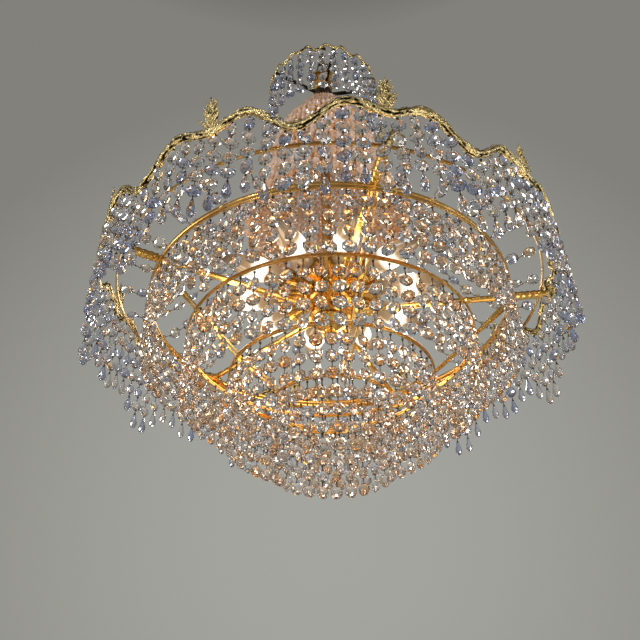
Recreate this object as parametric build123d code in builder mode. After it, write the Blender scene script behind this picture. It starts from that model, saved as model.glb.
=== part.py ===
from build123d import *
import os
from math import cos, hypot, radians, sin, tan

os.makedirs("parts", exist_ok=True)

# A basket chandelier of hanging crystal chains. Millimetres, +Z up.
# The origin is the middle of the hanging eye, so everything else lies below it.
# Levels are heights above the axis of the arms, unless their name says otherwise.

# Arms and their two seats
eye_to_arms = 640.0  # hanging eye down to the axis of the arms
arm_count = 5
arm_radius = 4.3
tube_sides = 10  # arms and stem have this many flats
arm_setback = 18.0  # an arm stops this far inside the middle of the rim
sleeve_radius = 6.2  # thicker cast part of an arm, between rings a and b
front = -90.0  # direction of the first arm
seat_gap = 0.2  # where one piece rests on another
bracket_width = 12.0
bracket_rise = 5.0  # top of the cast bracket at an arm's end, above the middle of the rim
bracket_toe = 7.0  # how far the bracket reaches in from the rim, above the arm
bracket_heel = 3.0  # and just under its middle

# Rings: place or radius to the flats, and number of flats (two neighbours meet at each hook)
ring_thickness = 2.5
ring_a_height = 5.0
ring_b_height = 10.0
hung_ring_height = 5.0
ring_a_inset = 25.0  # from the middle of the rim in to ring a
ring_a_sides = 60
ring_b_inset = 45.5  # from ring a in to ring b
ring_b_sides = 75
ring_c_radius = 197.0
ring_c_sides = 60
ring_d_radius = 137.0
ring_d_sides = 45
ring_e_radius = 78.0
ring_e_sides = 25
ring_c_level = -63.0  # middle of each hung ring
ring_d_level = -116.0
ring_e_level = -152.0
strap_width = 2.0  # the hung rings are tied by pairs of thin straps
strap_spacing = 7.0

# Wavy cast rim and its leaves
rim_radius = 324.0
rim_thickness = 10.0
rim_height = 16.0
rim_level = 33.0  # mean of the wave
rim_lobes = 10
rim_lobe_swing = 13.0
rim_notch_swing = 13.0
steps_per_lobe = 8
leaf_height = 57.0
leaf_width = 26.0
leaf_thickness = 5.0
leaf_foot_share = 0.38  # half widths and heights of the leaf, as shares of its own
leaf_belly_share = 0.28
leaf_tip_share = 0.32
leaf_tip_level_share = 0.68

# Crystals
octagon_width = 18.0
octagon_depth = 7.0
octagon_pitch = 22.7
link_gap = 0.2  # between the tips of two linked crystals
arm_hook_drop = 16.0  # underside of ring b to the middle of its first crystal
ring_hook_drop = 19.0  # the same under a hung ring
rim_hook_drop = 12.0  # and under the rim
tier_crystal_count = 4
rim_crystal_count = 4
lobe_chain_count = 10
drop_length = 26.0
drop_width = 11.0
drop_belly_share = 0.65  # where a drop is widest, from its top
swag_count = 30
swag_crystal_count = 10
swag_bend_radius = 212.0  # the two ends of a slack chain point to this place
swag_bend_level = -39.0

# Bell of close bead chains round the stem
gore_count = 15
bell_thickness = 5.0
bell_fill = 0.8  # share of the round that the chains cover
cap_sides = 12
bell_cap_radius = 42.0
bell_cap_height = 16.0
cap_edge = 3.0  # upright edge of both caps
cap_shoulder_share = 0.6  # height of a cap's shoulder
bell_cap_shoulder = 29.0
bell_cap_level = 458.0  # underside of the cap
bell_top_radius = 38.0
bell_shoulder_radius = 82.0
bell_shoulder_level = 385.0
bell_foot_radius = 132.0
bell_foot_level = 150.0

# Hub, candle cups and bulbs
hub_sides = 10
hub_radius = 30.0  # to its flats
hub_bottom = -14.0
hub_top = 50.0
bulb_count = 10
bulb_level = 37.0
cup_sides = 8
cup_inner_radius = 7.0
cup_outer_radius = 16.0
cup_end = 75.0  # from the middle
cup_flare_share = 0.8  # where the cup is full width
bulb_neck_radius = 11.0
bulb_radius = 17.5
bulb_length = 100.0
bulb_sides = 8
bulb_tip_radius = 1.5
bulb_shoulder_share = 0.25  # where the bulb is full width
bulb_belly_share = 0.45  # and where it begins to taper
bulb_taper_share = 0.8
bulb_taper_radius = 8.0
cover_foot_radius = 27.0  # turned cover between the hub and the stem
cover_middle_radius = 24.0
cover_top_radius = 10.4
finial_plate_radius = 24.0  # turned finial under the hub: radii and depths
finial_bead_radius = 26.0
finial_bead_depth = 5.0
finial_bowl_radius = 15.0
finial_bowl_depth = 13.0
finial_neck_radius = 7.0
finial_neck_depth = 20.0
finial_knob_radius = 11.0
finial_knob_depth = 27.0
finial_tip_radius = 1.5
finial_depth = 37.0

# Stem, crown and suspension
stem_radius = 8.0
stem_bore_radius = 6.0
stem_foot_level = 62.0
strut_thickness = 4.0
strut_depth = 8.0
strut_spacing = 12.0
crown_hub_level = 507.0  # underside
crown_hub_height = 14.0
crown_hub_radius = 18.0
crown_radius = 100.0
crown_thickness = 4.0
crown_height = 9.0
crown_lobe_swing = 4.0
crown_notch_swing = 5.0
crown_spoke_width = 5.0
crown_steps_per_lobe = 4
crown_chain_count = 3  # for each lobe
crown_crystal_count = 5
top_cap_level = 556.0
top_cap_height = 16.0
top_cap_radius = 26.0
top_cap_shoulder = 14.0
eye_bore_radius = 12.0
eye_radius = 19.0
eye_sides = 16
eye_thickness = 8.0
eye_to_pin = 40.0
lug_half_width = 8.0
pin_radius = 3.0
pin_clearance = 0.05
cheek_clearance = 0.3
cheek_thickness = 5.0
cheek_half_width = 10.0
cheek_corner = 6.0  # cut off its upper corners
clevis_floor_drop = 10.5  # the square lug meets this floor at the end of its swing
clevis_radius = 12.0
clevis_sides = 8

# Places that follow from the sizes above
arm_level = -eye_to_arms
arm_step = 360.0 / arm_count
lobe_step = 360.0 / rim_lobes
octagon_reach = (octagon_pitch - link_gap) / 2
arm_end = rim_radius - arm_setback
ring_a_radius = rim_radius - ring_a_inset
ring_b_radius = ring_a_radius - ring_b_inset
ring_a_bottom = arm_radius + seat_gap
ring_b_top = -arm_radius - seat_gap
ring_b_level = ring_b_top - ring_b_height / 2
pin_level = eye_to_arms - eye_to_pin
crown_spoke_level = crown_hub_level + crown_hub_height / 2
crown_mean_level = crown_spoke_level - crown_lobe_swing + crown_notch_swing


def outward(angle):
    return Vector(cos(radians(angle)), sin(radians(angle)), 0)


def facing_out(angle, distance, level):
    """Plane that faces away from the stem; its y axis is up."""
    side = outward(angle + 90)
    centre = outward(angle) * distance + Vector(0, 0, arm_level + level)
    return Plane(origin=centre, x_dir=side, z_dir=outward(angle))


def side_on(angle, offset=0.0):
    """Plane through the stem: x is the distance from it, y the level."""
    side = outward(angle - 90)
    return Plane(origin=side * offset + Vector(0, 0, arm_level), x_dir=outward(angle), z_dir=side)


def level_plane(level):
    return Plane.XY.offset(arm_level + level)


def pin_plane(distance):
    """Plane square to the pivot pin, with its origin on the pin's axis."""
    return Plane(origin=(distance, 0, -eye_to_pin), x_dir=(0, 1, 0), z_dir=(1, 0, 0))


def wave(offset, mean, lobe_swing, notch_swing):
    """Height of a wavy rim, offset degrees from a leaf: a notch there, a crest each side, then a dip."""
    phase = radians(offset * rim_lobes)
    return mean + lobe_swing * cos(phase) - notch_swing * cos(2 * phase)


def band_level(offset, steps, rim_shape):
    """Height of a wavy rim between two of its corners, where it runs straight."""
    place = (offset / lobe_step + 0.5) * steps
    corner = int(place)
    before = wave(lobe_step * (corner / steps - 0.5), *rim_shape)
    after = wave(lobe_step * ((corner + 1) / steps - 0.5), *rim_shape)
    return before + (after - before) * (place - corner)


def room_inside(radius, thickness, width, steps):
    """How far out a flat end of this width may reach under a corner of a wavy rim."""
    return radius - thickness / 2 - width / 2 * tan(radians(lobe_step / steps / 2)) - seat_gap


def hang_radius(radius, thickness):
    """Places crystals so that their upper tips are under the band of a ring or rim."""
    return radius + thickness / 4 - octagon_depth


def crystal(above, below, width=octagon_width, depth=octagon_depth):
    """A cut crystal with a ridge down its face, drawn to a tip above and below the origin. It faces +X."""
    half = width / 2
    flank = Plane(origin=(depth, 0, 0), x_dir=(-depth, half, 0), z_dir=(half, depth, 0))
    with BuildPart() as bead:
        with BuildSketch(flank) as side:
            with BuildLine():
                Polyline((0, above), (0, -below), (hypot(depth, half), 0), close=True)
            make_face()
        loft(sections=[side.sketch.face(), Vertex(0, -half, 0)], ruled=True)
    return bead.part


def chain(hook_drop, count, with_drop=False):
    """Linked crystals hanging from the origin. The first one reaches up to its hook."""
    first = crystal(hook_drop - seat_gap, octagon_reach)
    octagon = crystal(octagon_reach, octagon_reach)
    last_tip = hook_drop + (count - 1) * octagon_pitch + octagon_pitch / 2
    with BuildPart() as beads:
        with Locations((0, 0, -hook_drop)):
            add(first)
        for index in range(1, count):
            with Locations((0, 0, -hook_drop - index * octagon_pitch)):
                add(octagon)
        if with_drop:
            belly = drop_belly_share * drop_length
            with Locations((0, 0, -last_tip - belly)):
                add(crystal(belly - link_gap, drop_length - belly, drop_width))
    return beads.part


def wedge(outline, sides, fill=1.0):
    """One flat side of a piece round +Z: its half section, cut to its share of the round."""
    reach = max(radius for radius, level in outline)
    half_width = reach * tan(radians(fill * 180 / sides))
    floor = min(level for radius, level in outline)
    ceiling = max(level for radius, level in outline)
    with BuildPart() as piece:
        with BuildSketch(Plane.XZ):
            with BuildLine():
                Polyline(*outline, close=True)
            make_face()
        extrude(amount=2 * half_width, both=True)
        with BuildSketch(Plane.XY.offset(floor)):
            with BuildLine():
                Polyline((0, 0), (reach, -half_width), (reach, half_width), close=True)
            make_face()
        extrude(amount=ceiling - floor, mode=Mode.INTERSECT)
    return piece.part


def faceted(stations, sides):
    """A turned piece with flat sides round +Z: stations are (level, radius to the flats)."""
    rim = [(radius, level) for level, radius in stations]
    side = wedge([(0, stations[0][0]), *rim, (0, stations[-1][0])], sides)
    with BuildPart() as piece:
        with PolarLocations(0, sides):
            add(side)
    return piece.part


def prism(radius, sides, height):
    with BuildPart() as piece:
        with BuildSketch():
            RegularPolygon(radius, sides, major_radius=False)
        extrude(amount=height)
    return piece.part


def wavy_band(radius, thickness, height, mean, lobe_swing, notch_swing, steps):
    """Closed rim of equal lobes, each from dip to dip with a leaf's notch in its middle."""
    with BuildPart() as lobe:
        for step in range(steps + 1):
            offset = lobe_step * (step / steps - 0.5)
            angle = front + offset
            rise = wave(offset, mean, lobe_swing, notch_swing)
            centre = outward(angle) * radius + Vector(0, 0, arm_level + rise)
            with BuildSketch(Plane(origin=centre, x_dir=outward(angle), z_dir=outward(angle + 90))):
                Rectangle(thickness, height)
        loft(ruled=True)
    with BuildPart() as band:
        with PolarLocations(0, rim_lobes):
            add(lobe.part)
    return band.part


def write(piece, name):
    piece.part.label = name
    export_step(piece.part, f"parts/{name}.step")


# Suspension: an eye that takes the hook, pinned in a clevis on top of the stem
eye_half = eye_thickness / 2
with BuildPart() as hanging_eye:
    with BuildSketch(Plane.YZ):
        RegularPolygon(eye_radius, eye_sides)
        with Locations((0, -eye_to_pin / 2)):
            Rectangle(2 * lug_half_width, eye_to_pin)
        with Locations((0, -eye_to_pin - lug_half_width / 2)):
            Rectangle(2 * lug_half_width, lug_half_width)
        Circle(eye_bore_radius, mode=Mode.SUBTRACT)
        with Locations((0, -eye_to_pin)):
            Circle(pin_radius + pin_clearance, mode=Mode.SUBTRACT)
    extrude(amount=eye_half, both=True)
write(hanging_eye, "hanging_eye")

cheek_inside = eye_half + cheek_clearance
cheek_outside = cheek_inside + cheek_thickness
clevis_floor = pin_level - clevis_floor_drop
clevis_foot = top_cap_level + top_cap_height
with BuildPart() as clevis:
    with Locations(level_plane(clevis_foot)):
        add(prism(clevis_radius, clevis_sides, clevis_floor - clevis_foot))
    with BuildSketch(pin_plane(cheek_inside)):
        with BuildLine():
            Polyline(
                (-cheek_half_width, -clevis_floor_drop),
                (cheek_half_width, -clevis_floor_drop),
                (cheek_half_width, cheek_half_width - cheek_corner),
                (cheek_half_width - cheek_corner, cheek_half_width),
                (cheek_corner - cheek_half_width, cheek_half_width),
                (-cheek_half_width, cheek_half_width - cheek_corner),
                close=True,
            )
        make_face()
        Circle(pin_radius + pin_clearance, mode=Mode.SUBTRACT)
    extrude(amount=cheek_thickness)
    mirror(about=Plane.YZ)
write(clevis, "clevis")

with BuildPart() as pivot_pin:
    with BuildSketch(pin_plane(-cheek_outside)):
        Circle(pin_radius)
    extrude(amount=2 * cheek_outside)
write(pivot_pin, "pivot_pin")

# Stem, from the top down
with BuildPart() as top_cap:
    with Locations(level_plane(top_cap_level)):
        add(
            faceted(
                [
                    (0, top_cap_radius),
                    (cap_edge, top_cap_radius),
                    (cap_shoulder_share * top_cap_height, top_cap_shoulder),
                    (top_cap_height, clevis_radius),
                ],
                cap_sides,
            )
        )
write(top_cap, "top_cap")

crown_hub_top = crown_hub_level + crown_hub_height
stem_wall = stem_radius - stem_bore_radius
with BuildPart() as upper_stem:
    with BuildSketch(level_plane(crown_hub_top)):
        RegularPolygon(stem_radius, tube_sides, major_radius=False)
        offset(amount=-stem_wall, mode=Mode.SUBTRACT)
    extrude(amount=top_cap_level - crown_hub_top)
write(upper_stem, "upper_stem")

with BuildPart() as crown_hub:
    with Locations(level_plane(crown_hub_level)):
        add(prism(crown_hub_radius, hub_sides, crown_hub_height))
write(crown_hub, "crown_hub")

with BuildPart() as crown_spokes:
    spoke_end = room_inside(crown_radius, crown_thickness, crown_spoke_width, crown_steps_per_lobe)
    for index in range(arm_count):
        with BuildSketch(facing_out(front + arm_step * index, crown_hub_radius, crown_spoke_level)):
            Rectangle(crown_spoke_width, crown_spoke_width)
        extrude(amount=spoke_end - crown_hub_radius)
write(crown_spokes, "crown_spokes")

crown_wave = (crown_mean_level, crown_lobe_swing, crown_notch_swing)
with BuildPart() as crown_rim:
    add(wavy_band(crown_radius, crown_thickness, crown_height, *crown_wave, crown_steps_per_lobe))
write(crown_rim, "crown_rim")

bell_cap_top = bell_cap_level + bell_cap_height
with BuildPart() as stem_struts:
    for side in (-1, 1):
        with BuildSketch(level_plane(bell_cap_top)):
            with Locations((side * strut_spacing / 2, 0)):
                Rectangle(strut_thickness, strut_depth)
        extrude(amount=crown_hub_level - bell_cap_top)
write(stem_struts, "stem_struts")

with BuildPart() as bell_cap:
    with Locations(level_plane(bell_cap_level)):
        add(
            faceted(
                [
                    (0, bell_cap_radius),
                    (cap_edge, bell_cap_radius),
                    (cap_shoulder_share * bell_cap_height, bell_cap_shoulder),
                    (bell_cap_height, strut_spacing),
                ],
                cap_sides,
            )
        )
write(bell_cap, "bell_cap")

with BuildPart() as lower_stem:
    with BuildSketch(level_plane(stem_foot_level)):
        RegularPolygon(stem_radius, tube_sides, major_radius=False)
        offset(amount=-stem_wall, mode=Mode.SUBTRACT)
    extrude(amount=bell_cap_level - stem_foot_level)
write(lower_stem, "lower_stem")

# Hub
with BuildPart() as hub_body:
    with Locations(level_plane(hub_bottom)):
        add(prism(hub_radius, hub_sides, hub_top - hub_bottom))
write(hub_body, "hub_body")

cover_height = stem_foot_level - hub_top
with BuildPart() as hub_cover:
    with Locations(level_plane(hub_top)):
        cover_stations = [
            (0, cover_foot_radius),
            (cover_height / 2, cover_middle_radius),
            (cover_height, cover_top_radius),
        ]
        add(faceted(cover_stations, cap_sides))
write(hub_cover, "hub_cover")

with BuildPart() as hub_finial:
    with Locations(level_plane(hub_bottom)):
        finial_stations = [
            (-finial_depth, finial_tip_radius),
            (-finial_knob_depth, finial_knob_radius),
            (-finial_neck_depth, finial_neck_radius),
            (-finial_bowl_depth, finial_bowl_radius),
            (-finial_bead_depth, finial_bead_radius),
            (0, finial_plate_radius),
        ]
        add(faceted(finial_stations, cap_sides))
write(hub_finial, "hub_finial")

# Arms, each with a cast bracket that rises to the rim
sleeve_start = ring_b_radius + ring_thickness / 2 + seat_gap
sleeve_end = ring_a_radius - ring_thickness / 2 - seat_gap
flat_on_top = 90 + 180 / tube_sides
for index in range(arm_count):
    with BuildPart() as arm:
        with BuildSketch(facing_out(front + arm_step * index, hub_radius, 0)):
            RegularPolygon(arm_radius, tube_sides, major_radius=False, rotation=flat_on_top)
        extrude(amount=arm_end - hub_radius)
        with BuildSketch(facing_out(front + arm_step * index, sleeve_start, 0)):
            RegularPolygon(sleeve_radius, tube_sides, major_radius=False, rotation=flat_on_top)
        extrude(amount=sleeve_end - sleeve_start)
    write(arm, f"arm_{index + 1}")

rim_wave = (rim_level, rim_lobe_swing, rim_notch_swing)
leaf_level = wave(0, *rim_wave)
rim_inside = room_inside(rim_radius, rim_thickness, bracket_width, steps_per_lobe)
bracket_top = leaf_level + bracket_rise
with BuildPart() as arm_brackets:
    for index in range(arm_count):
        with BuildSketch(side_on(front + arm_step * index)):
            with BuildLine():
                Polyline(
                    (arm_end, -arm_radius),
                    (arm_end, arm_radius),
                    (rim_inside - bracket_toe, bracket_top),
                    (rim_inside, bracket_top),
                    (rim_inside, bracket_top / 2),
                    (rim_inside - bracket_heel, 0),
                    (rim_inside - bracket_toe, -arm_radius),
                    close=True,
                )
            make_face()
        extrude(amount=bracket_width / 2, both=True)
write(arm_brackets, "arm_brackets")

# Rim and its leaves
with BuildPart() as main_rim:
    add(wavy_band(rim_radius, rim_thickness, rim_height, *rim_wave, steps_per_lobe))
write(main_rim, "main_rim")

# A leaf's foot follows the notch that it stands in
leaf_foot = leaf_level + rim_height / 2 + seat_gap
rim_step = lobe_step / steps_per_lobe
notch_slope = (wave(rim_step, *rim_wave) - leaf_level) / (rim_radius * sin(radians(rim_step)))
foot_half_width = leaf_foot_share * leaf_width
with BuildPart() as rim_leaves:
    for index in range(rim_lobes):
        with BuildSketch(facing_out(front + lobe_step * index, rim_radius - leaf_thickness / 2, leaf_foot)):
            with BuildLine():
                right_side = [
                    (foot_half_width, foot_half_width * notch_slope),
                    (leaf_width / 2, leaf_belly_share * leaf_height),
                    (leaf_tip_share * leaf_width, leaf_tip_level_share * leaf_height),
                ]
                left_side = [(-x, y) for x, y in reversed(right_side)]
                Polyline((0, 0), *right_side, (0, leaf_height), *left_side, close=True)
            make_face()
        extrude(amount=leaf_thickness)
write(rim_leaves, "rim_leaves")

# Rings
rings = [
    ("ring_a", ring_a_radius, ring_a_sides, ring_a_bottom, ring_a_height),
    ("ring_b", ring_b_radius, ring_b_sides, ring_b_top - ring_b_height, ring_b_height),
    ("ring_c", ring_c_radius, ring_c_sides, ring_c_level - hung_ring_height / 2, hung_ring_height),
    ("ring_d", ring_d_radius, ring_d_sides, ring_d_level - hung_ring_height / 2, hung_ring_height),
    ("ring_e", ring_e_radius, ring_e_sides, ring_e_level - hung_ring_height / 2, hung_ring_height),
]
for name, radius, sides, bottom, height in rings:
    with BuildPart() as ring:
        with BuildSketch(level_plane(bottom)):
            outer = radius + ring_thickness / 2
            turn = front + 180 / sides
            RegularPolygon(outer, sides, major_radius=False, rotation=turn)
            RegularPolygon(
                outer - ring_thickness, sides, major_radius=False, rotation=turn, mode=Mode.SUBTRACT
            )
        extrude(amount=height)
    write(ring, name)

# Pairs of thin straps from the inside of each ring down to the top of the next
strap_runs = [
    ("straps_b_c", ring_b_radius, ring_b_level, ring_b_height, ring_c_radius, ring_c_level),
    ("straps_c_d", ring_c_radius, ring_c_level, hung_ring_height, ring_d_radius, ring_d_level),
    ("straps_d_e", ring_d_radius, ring_d_level, hung_ring_height, ring_e_radius, ring_e_level),
]
for name, upper_radius, upper_level, upper_height, lower_radius, lower_level in strap_runs:
    inner_face = upper_radius - ring_thickness / 2 - seat_gap
    lower_top = lower_level + hung_ring_height / 2 + seat_gap
    with BuildPart() as straps:
        for index in range(arm_count):
            for side in (-1, 1):
                offset = side * strap_spacing / 2 - strap_width / 2
                with BuildSketch(side_on(front + arm_step * index, offset)):
                    with BuildLine():
                        Polyline(
                            (inner_face, upper_level + upper_height / 2),
                            (inner_face, upper_level - upper_height / 2),
                            (lower_radius + ring_thickness / 2, lower_top),
                            (lower_radius - ring_thickness / 2, lower_top),
                            close=True,
                        )
                    make_face()
                extrude(amount=strap_width)
    write(straps, name)

# Crystal chains of the four tiers, one at each corner of its ring
tiers = [
    ("chains_b", ring_b_radius, ring_b_sides, ring_b_top - ring_b_height, arm_hook_drop),
    ("chains_c", ring_c_radius, ring_c_sides, ring_c_level - hung_ring_height / 2, ring_hook_drop),
    ("chains_d", ring_d_radius, ring_d_sides, ring_d_level - hung_ring_height / 2, ring_hook_drop),
    ("chains_e", ring_e_radius, ring_e_sides, ring_e_level - hung_ring_height / 2, ring_hook_drop),
]
for name, radius, sides, underside, hook_drop in tiers:
    tier_chain = chain(hook_drop, tier_crystal_count)
    distance = hang_radius(radius, ring_thickness)
    with BuildPart() as tier:
        with Locations((0, 0, arm_level + underside)):
            with PolarLocations(distance, sides, start_angle=front + 180 / sides):
                add(tier_chain)
    write(tier, name)

# Fringe of the rim: each chain follows the wave and ends in a drop
rim_chain = chain(rim_hook_drop, rim_crystal_count, with_drop=True)
rim_hang_radius = hang_radius(rim_radius, rim_thickness)
with BuildPart() as rim_chains:
    for index in range(lobe_chain_count):
        offset = lobe_step * ((index + 0.5) / lobe_chain_count - 0.5)
        underside = band_level(offset, steps_per_lobe, rim_wave) - rim_height / 2
        with Locations((0, 0, arm_level + underside)):
            with PolarLocations(rim_hang_radius, rim_lobes, start_angle=front + offset):
                add(rim_chain)
write(rim_chains, "rim_chains")

crown_chain = chain(rim_hook_drop, crown_crystal_count)
crown_hang_radius = hang_radius(crown_radius, crown_thickness)
with BuildPart() as crown_chains:
    for index in range(crown_chain_count):
        offset = lobe_step * ((index + 0.5) / crown_chain_count - 0.5)
        underside = band_level(offset, crown_steps_per_lobe, crown_wave) - crown_height / 2
        with Locations((0, 0, arm_level + underside)):
            with PolarLocations(crown_hang_radius, rim_lobes, start_angle=front + offset):
                add(crown_chain)
write(crown_chains, "crown_chains")

# Bell: gores of close chains that widen from the cap down
bell_outside = [
    (bell_foot_radius, bell_foot_level),
    (bell_shoulder_radius, bell_shoulder_level),
    (bell_top_radius, bell_cap_level - seat_gap),
]
bell_inside = [(radius - bell_thickness, level) for radius, level in reversed(bell_outside)]
gore = wedge(bell_outside + bell_inside, gore_count, bell_fill)
with BuildPart() as bell_chains:
    with Locations((0, 0, arm_level)):
        with PolarLocations(0, gore_count, start_angle=front):
            add(gore)
write(bell_chains, "bell_chains")

# Slack chains from the bell's foot over ring b to the underside of ring a
with BuildLine() as slack:
    Bezier(
        (bell_foot_radius - bell_thickness / 2, bell_foot_level - seat_gap),
        (swag_bend_radius, swag_bend_level),
        (ring_a_radius - ring_thickness / 4, arm_radius),
    )
slack_line = slack.edge()


def swag_point(share):
    """Place of a link: x of the drawn line is the distance from the stem, y the level."""
    place = slack_line.position_at(share * slack_line.length, position_mode=PositionMode.LENGTH)
    return Vector(place.X, 0, arm_level + place.Y)


with BuildPart() as swag:
    for index in range(swag_crystal_count):
        start = swag_point(index / swag_crystal_count)
        end = swag_point((index + 1) / swag_crystal_count)
        reach = (end - start).length / 2 - link_gap / 2
        along = (end - start).normalized()
        downward = Vector(along.Z, 0, -along.X)
        middle = (start + end) / 2 - downward * octagon_depth
        link = crystal(reach, reach)
        add(link.moved(Location(Plane(origin=middle, x_dir=downward, z_dir=along))))
with BuildPart() as swags:
    with PolarLocations(0, swag_count, start_angle=front + 180 / swag_count):
        add(swag.part)
write(swags, "swags")

# Cast cups that fan out from the hub, and their candle bulbs
cup_length = cup_end - hub_radius
cup_stations = [
    (0, cup_inner_radius),
    (cup_flare_share * cup_length, cup_outer_radius),
    (cup_length, cup_outer_radius),
]
cup = faceted(cup_stations, cup_sides)
bulb_step = 360.0 / bulb_count
with BuildPart() as bulb_cups:
    for index in range(bulb_count):
        with Locations(facing_out(front + bulb_step * index, hub_radius, bulb_level)):
            add(cup)
write(bulb_cups, "bulb_cups")

bulb_stations = [
    (0, bulb_neck_radius),
    (bulb_shoulder_share * bulb_length, bulb_radius),
    (bulb_belly_share * bulb_length, bulb_radius),
    (bulb_taper_share * bulb_length, bulb_taper_radius),
    (bulb_length, bulb_tip_radius),
]
bulb_glass = faceted(bulb_stations, bulb_sides)
for index in range(bulb_count):
    with BuildPart() as bulb:
        with Locations(facing_out(front + bulb_step * index, cup_end + seat_gap, bulb_level)):
            add(bulb_glass)
    write(bulb, f"bulb_{index + 1}")
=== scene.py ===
import math
import random

import bmesh
import bpy
from mathutils import Matrix, Vector, noise


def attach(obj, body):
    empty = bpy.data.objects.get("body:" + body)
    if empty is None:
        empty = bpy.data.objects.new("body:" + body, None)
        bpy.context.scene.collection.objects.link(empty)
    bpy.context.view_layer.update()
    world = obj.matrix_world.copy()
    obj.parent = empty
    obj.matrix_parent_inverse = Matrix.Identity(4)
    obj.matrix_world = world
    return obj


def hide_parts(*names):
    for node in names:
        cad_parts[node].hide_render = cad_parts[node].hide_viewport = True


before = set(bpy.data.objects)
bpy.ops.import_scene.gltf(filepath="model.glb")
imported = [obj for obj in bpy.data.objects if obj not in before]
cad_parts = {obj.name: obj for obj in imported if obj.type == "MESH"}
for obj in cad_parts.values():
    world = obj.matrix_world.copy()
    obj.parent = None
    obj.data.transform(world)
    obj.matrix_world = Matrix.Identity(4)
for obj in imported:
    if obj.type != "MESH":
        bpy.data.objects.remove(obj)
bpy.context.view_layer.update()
dice = random.Random(7)

# metres, +Z up; the origin is the middle of the hanging eye and the arms lie armLevel below it
armLevel = -0.640
front = -90.0  # degrees, direction of the first arm
lobes = 10
lobeAngle = 360.0 / lobes
arms = 5
armAngle = 360.0 / arms
whole = 2 * math.pi


def outward(angle):
    return Vector((math.cos(math.radians(angle)), math.sin(math.radians(angle)), 0))


def turned(angle):
    return Matrix.Rotation(math.radians(angle), 4, "Z")


def shifted(x, y, z):
    return Matrix.Translation((x, y, z))


def linear(code):
    parts = [int(code[i:i + 2], 16) / 255 for i in (1, 3, 5)]
    return tuple(p / 12.92 if p <= 0.04045 else ((p + 0.055) / 1.055) ** 2.4 for p in parts) + (1.0,)


def addNode(tree, kind, links=None, **settings):
    node = tree.nodes.new(kind)
    for name, value in settings.items():
        if hasattr(node, name):
            setattr(node, name, value)
        else:
            node.inputs[name.replace("_", " ")].default_value = value
    for socket, source in (links or {}).items():
        tree.links.new(source, node.inputs[socket])
    return node


def newMaterial(name):
    material = bpy.data.materials.new(name)
    material.use_nodes = True
    tree = material.node_tree
    return material, tree, tree.nodes["Principled BSDF"]


print("stage: materials")


# sizes of the patterns in metres, and their relief
pattern = {
    "drawMark": 1 / 900,  # real draw marks are finer than the render shows, so these are about 1 mm
    "drawDepth": 0.0004,
    "castBlotch": 1 / 240,  # gilding worn in patches of about 4 mm
    "castDepth": 0.0030,
}


# Gilt brass: brass tube and strip, drawn and lacquered. Faint draw marks under a warm cloudy lacquer.
def giltBrass(name, bright, deep, roughness, cloudSize):
    material, tree, shader = newMaterial(name)
    place = addNode(tree, "ShaderNodeTexCoord")
    cloud = addNode(tree, "ShaderNodeTexNoise", {"Vector": place.outputs["Object"]},
                    Scale=1 / cloudSize, Detail=4.0, Roughness=0.6)
    tone = addNode(tree, "ShaderNodeValToRGB", {"Fac": cloud.outputs["Fac"]})
    tone.color_ramp.elements[0].position = 0.35
    tone.color_ramp.elements[0].color = linear(deep)
    tone.color_ramp.elements[1].position = 0.65
    tone.color_ramp.elements[1].color = linear(bright)
    gloss = addNode(tree, "ShaderNodeMapRange", {"Value": cloud.outputs["Fac"]},
                    To_Min=roughness + 0.10, To_Max=roughness - 0.06)
    grain = addNode(tree, "ShaderNodeTexNoise", {"Vector": place.outputs["Object"]},
                    Scale=1 / pattern["drawMark"], Detail=2.0)
    relief = addNode(tree, "ShaderNodeBump", {"Height": grain.outputs["Fac"]},
                     Strength=0.12, Distance=pattern["drawDepth"])
    tree.links.new(tone.outputs["Color"], shader.inputs["Base Color"])
    tree.links.new(gloss.outputs["Result"], shader.inputs["Roughness"])
    tree.links.new(relief.outputs["Normal"], shader.inputs["Normal"])
    shader.inputs["Metallic"].default_value = 1.0
    return material


# Cast brass, antique gilt: sand-cast relief with patches of worn gilding; the pale tone on its ridges is a
# painted highlight and the dark brown in its hollows is painted shade. On the leaves and brackets the split
# falls in random patches.
def castGilt(name, ridgeHighlight, hollowShade):
    material, tree, shader = newMaterial(name)
    place = addNode(tree, "ShaderNodeTexCoord")
    relief = addNode(tree, "ShaderNodeAttribute", attribute_name="relief")
    blotch = addNode(tree, "ShaderNodeTexNoise", {"Vector": place.outputs["Object"]},
                     Scale=1 / pattern["castBlotch"], Detail=4.0, Roughness=0.62)
    wearAndShade = addNode(tree, "ShaderNodeMath", {0: relief.outputs["Fac"], 1: blotch.outputs["Fac"]},
                   operation="ADD")
    # painted shade: dark brown in the hollows; painted highlight: pale gold on the ridges; both shifted by
    # worn patches
    tone = addNode(tree, "ShaderNodeValToRGB", {"Fac": wearAndShade.outputs["Value"]})
    tone.color_ramp.elements[0].position = 0.74
    tone.color_ramp.elements[0].color = linear(hollowShade)
    tone.color_ramp.elements[1].position = 1.0
    tone.color_ramp.elements[1].color = linear(ridgeHighlight)
    gloss = addNode(tree, "ShaderNodeMapRange", {"Value": wearAndShade.outputs["Value"]},
                    From_Min=0.7, From_Max=1.2, To_Min=0.55, To_Max=0.20)
    bumps = addNode(tree, "ShaderNodeBump", {"Height": blotch.outputs["Fac"]},
                    Strength=0.9, Distance=pattern["castDepth"])
    tree.links.new(tone.outputs["Color"], shader.inputs["Base Color"])
    tree.links.new(gloss.outputs["Result"], shader.inputs["Roughness"])
    tree.links.new(bumps.outputs["Normal"], shader.inputs["Normal"])
    shader.inputs["Metallic"].default_value = 1.0
    return material
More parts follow.
